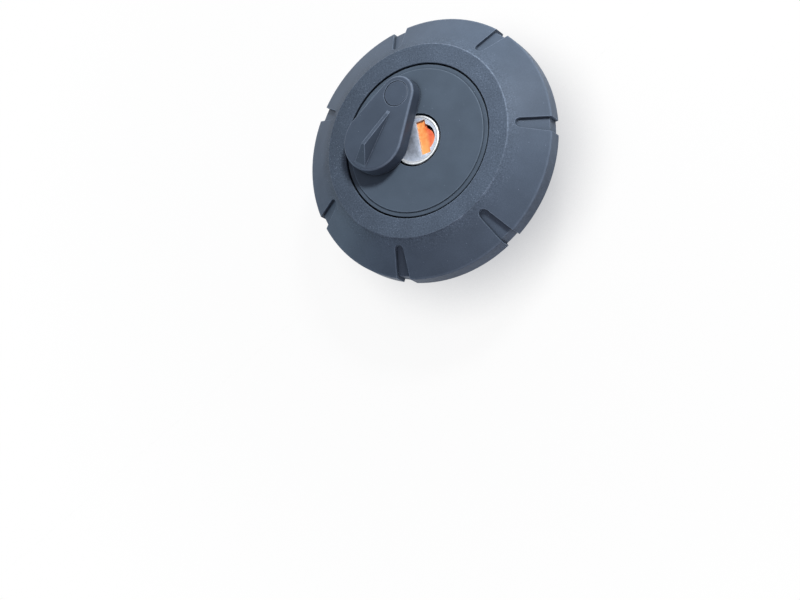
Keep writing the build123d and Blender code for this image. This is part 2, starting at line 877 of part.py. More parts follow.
# Bayonet insert: wall, flange, rim, web, ears and the bosses of the bottom cover
def ear_solid():
    """One ear about the X axis, with a ramp at its leading end."""
    half = ear_span / 2
    reach = ear_r + over
    low_z = ear_top_z - ear_t
    sector = Polygon(
        (0, 0),
        (reach, -reach * math.tan(math.radians(half))),
        (reach, reach * math.tan(math.radians(half))),
        align=None,
    )
    ear = rise(sector & Circle(ear_r), low_z, ear_top_z) - barrel(
        (plug_wall_r + plug_wall_in_r) / 2, low_z - over, ear_top_z + over
    )
    corner_edges = ear.edges().filter_by(Axis.Z).sort_by(SortBy.DISTANCE)[-2:]
    ear = fillet(corner_edges, ear_edge_r)
    ramp_turn = math.degrees(math.atan2(ear_ramp_drop, ear_r * math.radians(ear_ramp_span)))
    wedge = Box(4 * ear_r, 2 * ear_r, 2 * ear_t, align=(Align.CENTER, Align.MIN, Align.MIN))
    wedge = Pos(0, 0, ear_top_z) * Rot(-ramp_turn, 0, 0) * wedge
    return ear - Rot(0, 0, half - ear_ramp_span) * wedge


def make_insert_cup():
    cup = ring(plug_wall_r, plug_wall_in_r, cover_disc_t, rim_top_z)
    cup = cup + barrel((plug_wall_r + plug_wall_in_r) / 2, web_z, web_top_z)
    cup = cup + spun(
        [
            (plug_wall_in_r, flange_z),
            (flange_r, flange_z),
            (flange_r, flange_top_z),
            (rim_r, flange_top_z),
            (rim_r, rim_top_z),
            (plug_wall_in_r, rim_top_z),
        ],
        [((flange_r, flange_z), insert_edge_r), ((flange_r, flange_top_z), insert_edge_r)],
    )
    cup = join_all(cup, around(2, 0, ear_solid()))
    boss = Pos(bottom_screw_ring_r, 0, 0) * barrel(screw_boss_r, cover_disc_t, web_z + web_t / 2)
    cup = join_all(cup, around(bottom_screw_count, bottom_screw_angle, boss))
    pilot = Pos(bottom_screw_ring_r, 0, 0) * barrel(
        bottom_screw_r + thread_fit, cover_disc_t - over, web_z
    )
    cup = cut_all(cup, around(bottom_screw_count, bottom_screw_angle, pilot))
    vent = Pos(vent_ring_r, 0, 0) * barrel(vent_r, web_z - over, web_top_z + over)
    cup = cut_all(cup, around(vent_count, 0, vent))
    return cut_all(cup, core_screw_holes())


# Gasket: a flat ring with two round grooves in its sealing face
def make_main_gasket():
    inner_r = plug_wall_r + gasket_fit
    outline = [
        (inner_r, gasket_z),
        (gasket_r, gasket_z),
        (gasket_r, flange_z),
        (inner_r, flange_z),
    ]
    gasket = spun(outline, [((gasket_r, gasket_z), gasket_edge_r), ((inner_r, gasket_z), gasket_edge_r)])
    width = gasket_r - inner_r
    for third in (1, 2):
        radius = inner_r + width * third / 3
        gasket = gasket - Pos(0, 0, gasket_z) * Torus(radius, gasket_groove_r)
    return gasket


# Bottom cover with its port, guard bars, spigot and screw seats
def make_bottom_cover():
    spigot_r = plug_wall_in_r - spigot_fit
    spigot_in_r = spigot_r - spigot_t
    spigot_top_z = cover_disc_t + spigot_h
    outline = [
        (port_r, 0),
        (plug_wall_r, 0),
        (plug_wall_r, cover_disc_t),
        (spigot_r, cover_disc_t),
        (spigot_r, spigot_top_z),
        (spigot_in_r, spigot_top_z),
        (spigot_in_r, cover_disc_t),
        (port_r, cover_disc_t),
    ]
    cover = spun(outline, [((plug_wall_r, 0), bottom_edge_r)])
    bar = block((-port_r - guard_w, -guard_w / 2, 0), (port_r + guard_w, guard_w / 2, guard_t))
    cover = cover + bar + Rot(0, 0, 90) * bar
    seal_z = cover_disc_t + seal_lift
    groove_in_r = plug_wall_in_r - 2 * seal_wire_r - spigot_fit
    cover = cover - ring(spigot_r + over, groove_in_r, seal_z - seal_wire_r, seal_z + seal_wire_r)
    seat = Pos(bottom_screw_ring_r, 0, 0) * bottom_screw_form(screw_pass_gap)
    cover = cut_all(cover, around(bottom_screw_count, bottom_screw_angle, seat))
    clear = Pos(bottom_screw_ring_r, 0, 0) * barrel(
        screw_boss_r + screw_pass_gap, cover_disc_t, spigot_top_z + over
    )
    return cut_all(cover, around(bottom_screw_count, bottom_screw_angle, clear))


def bottom_screw_form(grow):
    """A countersunk screw, made larger by a clearance for its seat."""
    low_z = bottom_head_sink if grow == 0 else -over
    neck_z = bottom_head_sink + bottom_head_h
    top_z = web_z - bottom_screw_end_gap
    outline = [
        (0, low_z),
        (bottom_head_r + grow, low_z),
        (bottom_head_r + grow, bottom_head_sink + grow),
        (bottom_screw_r + grow, neck_z + grow),
        (bottom_screw_r + grow, top_z),
        (0, top_z),
    ]
    if grow == 0:
        outline.pop(2)
    return spun(outline)


def make_bottom_screws():
    screw = bottom_screw_form(0)
    screw = screw - cross_slot(bottom_head_sink - over, bottom_head_sink + drive_depth)
    place = Pos(bottom_screw_ring_r, 0, 0)
    return Compound(children=around(bottom_screw_count, bottom_screw_angle, place * screw))


def make_cover_seal():
    seal_r = plug_wall_in_r - seal_wire_r - spigot_fit / 2
    return Pos(0, 0, cover_disc_t + seal_lift) * Torus(seal_r, seal_wire_r)


# Pressure valve plate, its seal ring and the vacuum valve that hangs in its middle
def make_pressure_valve():
    plate = barrel(valve_plate_r, valve_plate_z, valve_plate_top_z)
    guide_in_r = vacuum_spring_r + 2 * vacuum_wire_r
    plate = plate + ring(valve_guide_r, guide_in_r, valve_plate_z, valve_plate_top_z + valve_guide_h)
    return plate - barrel(stem_hole_r, valve_plate_z - over, valve_plate_top_z + over)


def make_valve_seal():
    return ring(valve_seal_r, valve_seal_in_r, cover_disc_t, valve_plate_z)


def make_vacuum_valve():
    neck_z = valve_plate_z + stem_l - keeper_t
    outline = [
        (0, valve_plate_z - vacuum_disc_t),
        (vacuum_disc_r, valve_plate_z - vacuum_disc_t),
        (vacuum_disc_r, valve_plate_z),
        (stem_r, valve_plate_z),
        (stem_r, neck_z),
        (stem_neck_r, neck_z),
        (stem_neck_r, neck_z + keeper_t),
        (stem_r, neck_z + keeper_t),
        (stem_r, neck_z + 2 * keeper_t),
        (0, neck_z + 2 * keeper_t),
    ]
    return spun(outline)


def make_vacuum_keeper():
    neck_z = valve_plate_z + stem_l - keeper_t
    return ring(keeper_r, stem_neck_r + keeper_fit, neck_z, neck_z + keeper_t)


def make_pressure_spring():
    low = valve_plate_top_z + spring_end_gap
    return coil(pressure_spring_r, pressure_wire_r, low, web_z - spring_end_gap, pressure_turns)


def make_vacuum_spring():
    low = valve_plate_top_z + spring_end_gap
    high = valve_plate_z + stem_l - keeper_t - spring_end_gap
    return coil(vacuum_spring_r, vacuum_wire_r, low, high, vacuum_turns)


save(make_grip_shell(), "grip_shell")
save(make_glide_ring(), "glide_ring")
save(make_centre_disc(), "centre_disc")
save(make_dust_cover(), "dust_cover")
save(make_cover_pivot_pin(), "cover_pivot_pin")
save(make_cover_spring_washer(), "cover_spring_washer")
save(make_cover_retaining_clip(), "cover_retaining_clip")
save(make_lock_bezel(), "lock_bezel")
save(make_lock_housing(), "lock_housing")
save(make_lock_plug(), "lock_plug")
save(make_key_shutter(), "key_shutter")
save(make_shutter_pin(), "shutter_pin")
save(make_shutter_spring(), "shutter_spring")
for wafer_index in range(wafer_count):
    save(make_wafer(wafer_index), "wafer_" + str(wafer_index + 1))
save(make_wafer_springs(), "wafer_springs")
save(make_lock_cam(), "lock_cam")
save(make_cam_screw(), "cam_screw")
save(make_lock_bolt(0), "lock_bolt_1")
save(make_lock_bolt(180), "lock_bolt_2")
save(make_bolt_carrier(), "bolt_carrier")
save(make_carrier_lid(), "carrier_lid")
save(make_core_screws(), "core_screws")
save(make_insert_cup(), "insert_cup")
save(make_main_gasket(), "main_gasket")
save(make_bottom_cover(), "bottom_cover")
save(make_bottom_screws(), "bottom_screws")
save(make_cover_seal(), "cover_seal")
save(make_pressure_valve(), "pressure_valve")
save(make_valve_seal(), "valve_seal")
save(make_pressure_spring(), "pressure_spring")
save(make_vacuum_valve(), "vacuum_valve")
save(make_vacuum_keeper(), "vacuum_keeper")
save(make_vacuum_spring(), "vacuum_spring")
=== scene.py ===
import json
import math

import bmesh
import bpy
from mathutils import Matrix, Vector


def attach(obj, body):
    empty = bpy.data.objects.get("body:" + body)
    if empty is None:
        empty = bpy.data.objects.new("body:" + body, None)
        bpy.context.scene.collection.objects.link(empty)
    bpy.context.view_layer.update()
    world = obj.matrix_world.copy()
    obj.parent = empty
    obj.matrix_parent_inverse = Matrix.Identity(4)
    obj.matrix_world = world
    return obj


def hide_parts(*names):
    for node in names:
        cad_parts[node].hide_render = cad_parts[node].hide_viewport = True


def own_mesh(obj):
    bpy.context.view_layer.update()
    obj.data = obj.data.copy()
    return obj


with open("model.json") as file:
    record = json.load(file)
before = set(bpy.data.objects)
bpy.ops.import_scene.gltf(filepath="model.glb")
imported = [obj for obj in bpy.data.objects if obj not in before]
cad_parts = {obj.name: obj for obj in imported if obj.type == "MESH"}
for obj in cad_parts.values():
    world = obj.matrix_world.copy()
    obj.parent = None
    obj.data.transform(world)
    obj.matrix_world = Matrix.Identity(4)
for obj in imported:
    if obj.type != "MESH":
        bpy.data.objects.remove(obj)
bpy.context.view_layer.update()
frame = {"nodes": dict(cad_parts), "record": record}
nodes = frame["nodes"]

MM = 0.001

# Colours as red, green and blue
GRIP_BLUE = (0.089, 0.119, 0.164)
DISC_BLUE = (0.086, 0.117, 0.157)
COVER_BLUE = (0.072, 0.096, 0.134)
CORE_BLACK = (0.034, 0.035, 0.038)
GLIDE_WHITE = (0.70, 0.69, 0.64)
RUBBER_BLACK = (0.016, 0.016, 0.017)
RUBBER_BLOOM = (0.035, 0.035, 0.037)
SLOT_ORANGE = (0.96, 0.24, 0.045)
SLOT_ORANGE_PALE = (1.0, 0.46, 0.15)
SLOT_ORANGE_LOW = (1.0, 0.45, 0.14)
# Painted shade on the shutter's round side
SHADED_SIDE_ORANGE = (0.85, 0.13, 0.05)
SHADED_SIDE_ORANGE_PALE = (0.97, 0.24, 0.09)
CHROME = (0.74, 0.77, 0.80)
ZINC = (0.45, 0.50, 0.59)
# Painted highlight on the plug's sharp edges
BARE_ZINC_HIGHLIGHT = (0.80, 0.80, 0.80)
SCREW_STEEL = (0.58, 0.59, 0.61)
SPRING_STEEL = (0.48, 0.49, 0.52)
ALUMINIUM = (0.74, 0.75, 0.76)
BRASS = (0.75, 0.55, 0.25)
FLOOR_GREY = (0.85, 0.85, 0.85)
CONTACT_SHADOW = (0.42, 0.43, 0.46)
PURE_WHITE = (1.0, 1.0, 1.0)

# Radii from the cap's axis and heights over the floor at rest, in millimetres. Two numbers say
# where a mark starts and is full, and four say where it starts, is full, starts to end and is gone.
LID_ROUNDING_RADII = (44.35, 44.7)
ROUGH_RING_RADII = (25, 27, 33.6, 38)
RING_EDGE_RADII = (32.95, 33.15, 33.35, 33.6)
RING_EDGE_HEIGHTS = (35.3, 35.6)
STEP_EDGE_RADII = (24.20, 24.40, 24.6, 24.75)
STEP_EDGE_HEIGHTS = (35.7, 35.85)
COVER_RIM_HEIGHTS = (40.2, 40.5, 41.1, 41.28)
FIN_FOOT_HEIGHTS = (41.31, 41.33, 41.55, 41.7)
PLUG_RIM_RADII = (4.5, 7.4)
WHITE_FLOOR_RADII = (60, 200)

# How far the roundings with rubbed wear and painted highlights face up, from 0 on walls to 1 on level
# faces
LID_ROUNDING_FACING = (0.05, 0.3, 0.8, 0.86)
COVER_RIM_FACING = (0.25, 0.5, 0.9, 0.99)

# Directions in the plane of the lid: across the key slot, down along it, to the cap's right side
# and to the lit side, where the painted highlight on the edge of the flat ring is fullest
PLUG_ANGLE = math.radians(23.2)
SLOT_RIGHT = (math.cos(PLUG_ANGLE), math.sin(PLUG_ANGLE), 0.0)
SLOT_DOWN = (math.sin(PLUG_ANGLE), -math.cos(PLUG_ANGLE), 0.0)
LID_RIGHT = (1.0, 0.0, 0.0)
PAINTED_HIGHLIGHT_SIDE = (0.707, 0.707, 0.0)

# The part of a noise's values that is spread over a pattern's whole range: for a soft pattern, a
# firm one, and the plug's rings
SOFT_SPREAD = (0.3, 0.7)
FIRM_SPREAD = (0.35, 0.65)
RINGS_SPREAD = (0.0, 0.6)

# Cosine of the turn between a face and its rounded form: on the face, and at a sharp edge
FACE_COSINE = 0.995
EDGE_COSINE = 0.90

# Samples of the edge and corner masks on the cap, and of the shadow where it meets the floor
CAP_SAMPLES = 6
FLOOR_SAMPLES = 16

# Share of a speck's size that is fully pale
SPECK_CORE = 0.6

# Sheen of moulded plastic, and how far the roughness drifts over a plastic and over a metal
PLASTIC_SHINE = 0.1
PLASTIC_DRIFT = 0.05
METAL_DRIFT = 0.06

# How close two points of a coil's copy are where they are merged
WELD_MM = 1e-4

# Size of the floor in metres, and how far it lies under the cap's rest face
FLOOR_SIZE = 15.0
FLOOR_DROP_MM = 0.05

# The point in metres that the lamps face
LAMP_AIM = Vector((0.0, 0.0, 0.03))


def mm(*lengths):
    """Lengths in millimetres, turned into metres."""
    return tuple(length * MM for length in lengths)


def tinted(color, factor, lift=0.0):
    """A colour made lighter or darker, then lifted, and kept in range."""
    return tuple(min(1.0, part * factor + lift) for part in color)


def new_material(name):
    """A new material and its principled shader."""
    material = bpy.data.materials.new(name)
    material.use_nodes = True
    return material, material.node_tree.nodes["Principled BSDF"]


# Small tools for nodes, whose owner is a material or the world
def feed(owner, value, socket):
    """Joins an output to an input socket, or sets the socket to a number, vector or colour."""
    if isinstance(value, bpy.types.NodeSocket):
        owner.node_tree.links.new(value, socket)
    elif socket.type == "RGBA":
        socket.default_value = (*value, 1)
    else:
        socket.default_value = value


def add_node(owner, kind, feeds=None, **settings):
    """Adds a node, sets its properties and feeds its inputs by name or number."""
    node = owner.node_tree.nodes.new(kind)
    for name, setting in settings.items():
        setattr(node, name, setting)
    for key, value in (feeds or {}).items():
        feed(owner, value, node.inputs[key])
    return node


def arithmetic(owner, operation, first, second):
    """One math step on two values, each a socket or a number."""
    feeds = {0: first, 1: second}
    return add_node(owner, "ShaderNodeMath", feeds, operation=operation).outputs["Value"]


def product(owner, *values):
    """All the values multiplied, each a socket or a number."""
    result = values[0]
    for value in values[1:]:
        result = arithmetic(owner, "MULTIPLY", result, value)
    return result


def larger(owner, first, second):
    """The larger of two values."""
    return arithmetic(owner, "MAXIMUM", first, second)


def remap(owner, value, low, high, to_low=0.0, to_high=1.0):
    """Maps a value from one range to another, clamped."""
    limits = {"From Min": low, "From Max": high, "To Min": to_low, "To Max": to_high}
    return add_node(owner, "ShaderNodeMapRange", {"Value": value, **limits}).outputs["Result"]


def band(owner, value, start, full, end, gone):
    """One between two values, fading to nothing on each side."""
    return product(owner, remap(owner, value, start, full), remap(owner, value, end, gone, 1, 0))


def blend_colors(owner, factor, first, second):
    """Mixes two colours, each a socket or a tuple, by a factor."""
    feeds = {0: factor, 6: first, 7: second}
    return add_node(owner, "ShaderNodeMix", feeds, data_type="RGBA").outputs[2]


def blend_shaders(owner, factor, first, second):
    """Mixes two shaders by a factor."""
    return add_node(owner, "ShaderNodeMixShader", {0: factor, 1: first, 2: second}).outputs["Shader"]


def scaled(owner, color, factor):
    """A colour made lighter or darker by a factor."""
    feeds = {0: color, "Scale": factor}
    return add_node(owner, "ShaderNodeVectorMath", feeds, operation="SCALE").outputs["Vector"]


def seen_directly(owner):
    """One for rays from the camera, off glossy faces and through clear ones, else nothing."""
    rays = add_node(owner, "ShaderNodeLightPath").outputs
    seen = larger(owner, rays["Is Camera Ray"], rays["Is Glossy Ray"])
    return larger(owner, seen, rays["Is Transmission Ray"])


# Where a point of a piece is, and how its surface lies
def object_place(material):
    """A point's place in object space, in metres."""
    return add_node(material, "ShaderNodeTexCoord").outputs["Object"]


def axis_radius(material):
    """Distance of a point from the cap's axis, in metres."""
    split = add_node(material, "ShaderNodeSeparateXYZ", {"Vector": object_place(material)}).outputs
    flat = add_node(material, "ShaderNodeCombineXYZ", {"X": split["X"], "Y": split["Y"]})
    feeds = {0: flat.outputs["Vector"]}
    return add_node(material, "ShaderNodeVectorMath", feeds, operation="LENGTH").outputs["Value"]


def height(material):
    """Height of a point over the floor at rest, in metres."""
    feeds = {"Vector": object_place(material)}
    return add_node(material, "ShaderNodeSeparateXYZ", feeds).outputs["Z"]


def surface_normal(material):
    """The direction that a surface faces."""
    return add_node(material, "ShaderNodeNewGeometry").outputs["Normal"]


def upward(material):
    """How far a surface faces up: one on level faces, nothing on walls."""
    feeds = {"Vector": surface_normal(material)}
    return add_node(material, "ShaderNodeSeparateXYZ", feeds).outputs["Z"]


def along(material, direction, low_mm, high_mm):
    """Rises from nothing to one between two distances along a direction, in object space."""
    feeds = {0: object_place(material), 1: direction}
    reach = add_node(material, "ShaderNodeVectorMath", feeds, operation="DOT_PRODUCT")
    return remap(material, reach.outputs["Value"], *mm(low_mm, high_mm))


def openness(material, reach_mm, low, high, darkest=0.0, own_only=False, samples=CAP_SAMPLES):
    """One on an open face, falling to its darkest value deep in a gap or corner."""
    settings = {"samples": samples, "only_local": own_only}
    shade = add_node(material, "ShaderNodeAmbientOcclusion", {"Distance": reach_mm * MM}, **settings)
    return remap(material, shade.outputs["AO"], low, high, darkest, 1)


def sharp_edges(material, radius_mm):
    """A mask of the outer edges of a piece: one at an edge, nothing on faces and in corners."""
    rounded = add_node(material, "ShaderNodeBevel", {"Radius": radius_mm * MM}, samples=CAP_SAMPLES)
    feeds = {0: rounded.outputs["Normal"], 1: surface_normal(material)}
    facing = add_node(material, "ShaderNodeVectorMath", feeds, operation="DOT_PRODUCT")
    turned = remap(material, facing.outputs["Value"], FACE_COSINE, EDGE_COSINE)
    outer = openness(material, reach_mm=1.2, low=0.80, high=0.97, own_only=True)
    return product(material, turned, outer)


# Patterns
def object_noise(material, size_mm, detail=3.0, roughness=0.5):
    """Noise on object coordinates whose features are about size_mm across."""
    feeds = {
        "Vector": object_place(material), "Scale": 1 / (size_mm * MM),
        "Detail": detail, "Roughness": roughness,
    }
    return add_node(material, "ShaderNodeTexNoise", feeds).outputs["Fac"]


def specks(material, cell_mm, share, size):
    """A mask of small sparse dots: a share of the cells hold one each, of a size in cells."""
    feeds = {"Vector": object_place(material), "Scale": 1 / (cell_mm * MM)}
    cells = add_node(material, "ShaderNodeTexVoronoi", feeds).outputs
    near = remap(material, cells["Distance"], size * SPECK_CORE, size, 1, 0)
    chance = add_node(material, "ShaderNodeSeparateColor", {"Color": cells["Color"]}).outputs["Red"]
    return product(material, near, arithmetic(material, "LESS_THAN", chance, share))


def bump(material, shader, relief, depth_mm):
    """Feeds a relief of a given depth into the shader's normal."""
    feeds = {"Height": relief, "Distance": depth_mm * MM, "Strength": 1.0}
    raised = add_node(material, "ShaderNodeBump", feeds)
    feed(material, raised.outputs["Normal"], shader.inputs["Normal"])


# Rubbed wear and painted highlights on the edges of the three plastic pieces that show on the lid
def lid_rub_highlight(material):
    """Rubbed wear and painted highlight on the rounding where the lid's cone turns into its wall, and
    on the outer edge of the flat ring.
    """
    radius = axis_radius(material)
    outer = remap(material, radius, *mm(*LID_ROUNDING_RADII))
    rounding = product(material, outer, band(material, upward(material), *LID_ROUNDING_FACING), 0.6)
    edge = band(material, radius, *mm(*RING_EDGE_RADII))
    top = remap(material, height(material), *mm(*RING_EDGE_HEIGHTS))
    broken = remap(material, object_noise(material, 9.0, roughness=0.6), 0.46, 0.62, 0.05, 1)
    # Painted highlight: the ring's edge line is unbroken on the lit side
    broken = larger(material, broken, along(material, PAINTED_HIGHLIGHT_SIDE, 12, 28))
    dots = object_noise(material, 0.8, detail=2.0, roughness=0.6)
    dotted = remap(material, dots, 0.42, 0.58, 0.4, 1.5)
    return larger(material, rounding, product(material, edge, top, broken, dotted))


def disc_rub_highlight(material):
    """Rubbed wear and painted highlight on the upper edge of the disc's low step."""
    edge = band(material, axis_radius(material), *mm(*STEP_EDGE_RADII))
    top = remap(material, height(material), *mm(*STEP_EDGE_HEIGHTS))
    return product(material, edge, top, 0.6)


def cover_rub_highlight(material):
    """Rubbed wear and painted highlight on the swing cover's rounded top edge and the foot of its
    thumb fin.
    """
    level = height(material)
    rim = band(material, level, *mm(*COVER_RIM_HEIGHTS))
    rim = product(material, rim, band(material, upward(material), *COVER_RIM_FACING))
    foot = band(material, level, *mm(*FIN_FOOT_HEIGHTS))
    return larger(material, rim, product(material, foot, 0.8))


def rough_ring(material, radii_mm, fine, mottle_and_painted_shade, dots):
    """Coarser grain, patches of painted glints, and painted shade that darkens the tone towards the
    cap's left side, fading in and out over the radii.
    """
    zone = band(material, axis_radius(material), *mm(*radii_mm))
    fine = product(material, fine, remap(material, zone, 0, 1, 0.25, 1))
    patches = remap(material, object_noise(material, 5.0, roughness=0.6), 0.44, 0.60, 0.12, 1)
    patches = product(material, patches, arithmetic(material, "POWER", zone, 0.5))
    # Painted glints: pale specks in patches over the ring
    glints = product(material, specks(material, cell_mm=0.42, share=0.24, size=0.34), patches)
    spots_and_painted_shade = object_noise(material, 0.5, detail=2.0, roughness=0.7)
    spots_and_painted_shade = remap(material, spots_and_painted_shade, *SOFT_SPREAD, 0.70, 1.36)
    # Painted shade: the flat ring's tone is darker towards the cap's left side
    painted_side_shade = remap(material, along(material, LID_RIGHT, -34, 6), 0, 1, 0.74, 1)
    spots_and_painted_shade = arithmetic(material, "POWER", product(material, spots_and_painted_shade, painted_side_shade), zone)
    return fine, product(material, mottle_and_painted_shade, spots_and_painted_shade), larger(material, dots, glints)


# Finishes
def moulded_plastic(
    name, color, roughness, grain_mm, grain_depth_mm, speck_share=0.0, rough_radii_mm=None,
    wear_and_highlight=0.7, wear_and_highlight_mm=0.4, rub_and_highlight=None, wall_shade=None
):
    """Satin moulded plastic: cloudy tone, fine grain, pale specks, rubbed edges partly painted as
    highlights, and painted shade in corners and crevices.
    """
    material, shader = new_material(name)
    grain = object_noise(material, grain_mm, detail=2.0, roughness=0.6)
    fine = remap(material, grain, *SOFT_SPREAD)
    mottle_and_painted_shade = remap(material, grain, *SOFT_SPREAD, 0.90, 1.10)
    dots = specks(material, cell_mm=0.55, share=speck_share, size=0.26)
    if rough_radii_mm:
        fine, mottle_and_painted_shade, dots = rough_ring(material, rough_radii_mm, fine, mottle_and_painted_shade, dots)
    cloud = remap(material, object_noise(material, 9.0, detail=2.0), *FIRM_SPREAD)
    dark, pale = tinted(color, 0.94), tinted(color, 1.06)
    tone = scaled(material, blend_colors(material, cloud, dark, pale), mottle_and_painted_shade)
    # Painted shade: the tone is darkened in corners, gaps and crevices, where shade falls
    corners = openness(material, reach_mm=2.0, low=-0.35, high=0.9)
    crevices = openness(material, reach_mm=0.6, low=0.45, high=0.92, darkest=0.45)
    tone = scaled(material, scaled(material, tone, corners), crevices)
    if wall_shade:
        tone = scaled(material, tone, remap(material, upward(material), 0.1, 0.5, wall_shade, 1))
    # Pale dots: dust specks, and on the lid's flat ring also painted glints
    speck_color = tinted(color, 2.4, lift=0.05)
    tone = blend_colors(material, product(material, dots, 0.7), tone, speck_color)
    # Rubbed wear and painted highlights: outer edges and the given rub marks are paled
    rubbed_and_highlit = sharp_edges(material, wear_and_highlight_mm)
    if rub_and_highlight:
        rubbed_and_highlit = larger(material, rubbed_and_highlit, product(material, rub_and_highlight(material), 0.6))
    patches = object_noise(material, 2.0, detail=4.0, roughness=0.7)
    patchy = remap(material, patches, 0.35, 0.6, 0.5, 1)
    worn_highlight_color = tinted(color, 2.3, lift=0.05)
    tone = blend_colors(material, product(material, rubbed_and_highlit, wear_and_highlight, patchy), tone, worn_highlight_color)
    feed(material, tone, shader.inputs["Base Color"])
    rough = remap(material, grain, *SOFT_SPREAD, roughness - PLASTIC_DRIFT, roughness + PLASTIC_DRIFT)
    feed(material, rough, shader.inputs["Roughness"])
    feed(material, PLASTIC_SHINE, shader.inputs["Specular IOR Level"])
    bump(material, shader, fine, grain_depth_mm)
    return material


def worked_metal(name, color, roughness, grain_mm=0.3, depth_mm=0.004):
    """Bare or plated metal with fine marks."""
    material, shader = new_material(name)
    marks = object_noise(material, grain_mm, roughness=0.6)
    dark, pale = tinted(color, 0.85), tinted(color, 1.1)
    tone = blend_colors(material, remap(material, marks, *FIRM_SPREAD), dark, pale)
    feed(material, tone, shader.inputs["Base Color"])
    feed(material, 1.0, shader.inputs["Metallic"])
    rough = remap(material, marks, *SOFT_SPREAD, roughness - METAL_DRIFT, roughness + METAL_DRIFT)
    feed(material, rough, shader.inputs["Roughness"])
    bump(material, shader, marks, depth_mm)
    return material


def moulded_rubber(name):
    """Dark matte rubber with a faint dusty bloom."""
    material, shader = new_material(name)
    bloom = remap(material, object_noise(material, 2.5, detail=4.0, roughness=0.6), 0.4, 0.7)
    tone = blend_colors(material, bloom, RUBBER_BLACK, RUBBER_BLOOM)
    feed(material, tone, shader.inputs["Base Color"])
    feed(material, 0.75, shader.inputs["Roughness"])
    bump(material, shader, object_noise(material, 0.2, detail=2.0), depth_mm=0.01)
    return material


def shutter_plastic(name):
    """Glossy orange plastic: light along the key slot, and painted shade that makes its round side
    darker and redder.
    """
    material, shader = new_material(name)
    mark = remap(material, object_noise(material, 1.6, detail=2.0), *FIRM_SPREAD)
    slot = blend_colors(material, mark, SLOT_ORANGE, SLOT_ORANGE_PALE)
    slot = blend_colors(material, along(material, SLOT_DOWN, -1.5, 4.5), slot, SLOT_ORANGE_LOW)
    # Painted shade: the round side of the shutter is darker and redder
    side = blend_colors(material, mark, SHADED_SIDE_ORANGE, SHADED_SIDE_ORANGE_PALE)
    tone = blend_colors(material, along(material, SLOT_RIGHT, 3.3, 4.6), slot, side)
    feed(material, tone, shader.inputs["Base Color"])
    feed(material, 0.35, shader.inputs["Roughness"])
    bump(material, shader, object_noise(material, 0.4, detail=2.0), depth_mm=0.006)
    return material


def turned_plug(name, color):
    """Cast zinc with a turned face: fine rings, and painted light: brighter at its rim, right of the
    slot and below, with painted highlights on its sharp edges.
    """
    material, shader = new_material(name)
    feeds = {"Vector": object_place(material), "Scale": 900.0, "Distortion": 2.0, "Detail": 3.0}
    rings = add_node(material, "ShaderNodeTexWave", feeds, wave_type="RINGS", rings_direction="Z")
    marks = product(material, rings.outputs["Fac"], object_noise(material, 0.35, roughness=0.6))
    # Painted light: the face is paler at its rim, right of the slot and below, and darker elsewhere
    rim = remap(material, axis_radius(material), *mm(*PLUG_RIM_RADII))
    right = along(material, SLOT_RIGHT, -1.55, 0.95)
    below = product(material, along(material, SLOT_DOWN, 0.0, 6.5), 0.5)
    glow = larger(material, larger(material, rim, right), below)
    dark, pale = tinted(color, 0.52), tinted(color, 1.15)
    turned = remap(material, marks, *RINGS_SPREAD, 0.82, 1.15)
    stain = remap(material, object_noise(material, 1.3, roughness=0.6), *FIRM_SPREAD, 0.82, 1.12)
    tone = scaled(material, blend_colors(material, glow, dark, pale), turned)
    tone = scaled(material, tone, stain)
    # Painted highlight: the face's sharp edges are paled
    tone = blend_colors(material, sharp_edges(material, radius_mm=0.40), tone, BARE_ZINC_HIGHLIGHT)
    feed(material, tone, shader.inputs["Base Color"])
    feed(material, 1.0, shader.inputs["Metallic"])
    feed(material, remap(material, marks, *RINGS_SPREAD, 0.60, 0.72), shader.inputs["Roughness"])
    bump(material, shader, marks, depth_mm=0.004)
    return material


finishes = {
    "grip_plastic": moulded_plastic(
        "grip_plastic", GRIP_BLUE, roughness=0.46, grain_mm=0.28, grain_depth_mm=0.030,
        speck_share=0.015, rough_radii_mm=ROUGH_RING_RADII, rub_and_highlight=lid_rub_highlight,
    ),
    "disc_plastic": moulded_plastic(
        "disc_plastic", DISC_BLUE, roughness=0.50, grain_mm=0.24, grain_depth_mm=0.012,
        speck_share=0.012, wear_and_highlight=0.6, wear_and_highlight_mm=0.3, rub_and_highlight=disc_rub_highlight,
    ),
    "cover_plastic": moulded_plastic(
        "cover_plastic", COVER_BLUE, roughness=0.44, grain_mm=0.24, grain_depth_mm=0.008,
        speck_share=0.008, wear_and_highlight=0.95, wear_and_highlight_mm=0.5, rub_and_highlight=cover_rub_highlight, wall_shade=0.72,
    ),
    "black_plastic": moulded_plastic(
        "black_plastic", CORE_BLACK, roughness=0.42, grain_mm=0.35, grain_depth_mm=0.012,
        wear_and_highlight=0.4, wear_and_highlight_mm=0.3,
    ),
    "white_plastic": moulded_plastic(
        "white_plastic", GLIDE_WHITE, roughness=0.35, grain_mm=0.35, grain_depth_mm=0.004,
    ),
    "orange_plastic": shutter_plastic("orange_plastic"),
    "bright_chrome": worked_metal(
        "bright_chrome", CHROME, roughness=0.55, grain_mm=0.5, depth_mm=0.001,
    ),
    "zinc_alloy": turned_plug("zinc_alloy", ZINC),
    "screw_steel": worked_metal("screw_steel", SCREW_STEEL, roughness=0.3),
    "spring_steel": worked_metal("spring_steel", SPRING_STEEL, roughness=0.28),
    "valve_aluminium": worked_metal("valve_aluminium", ALUMINIUM, roughness=0.35),
    "valve_brass": worked_metal("valve_brass", BRASS, roughness=0.3),
    "seal_rubber": moulded_rubber("seal_rubber"),
}

for subpart in frame["record"]["subparts"]:
    mesh = nodes[subpart["node"]].data
    mesh.materials.clear()
    mesh.materials.append(finishes[subpart["material_slot"]])


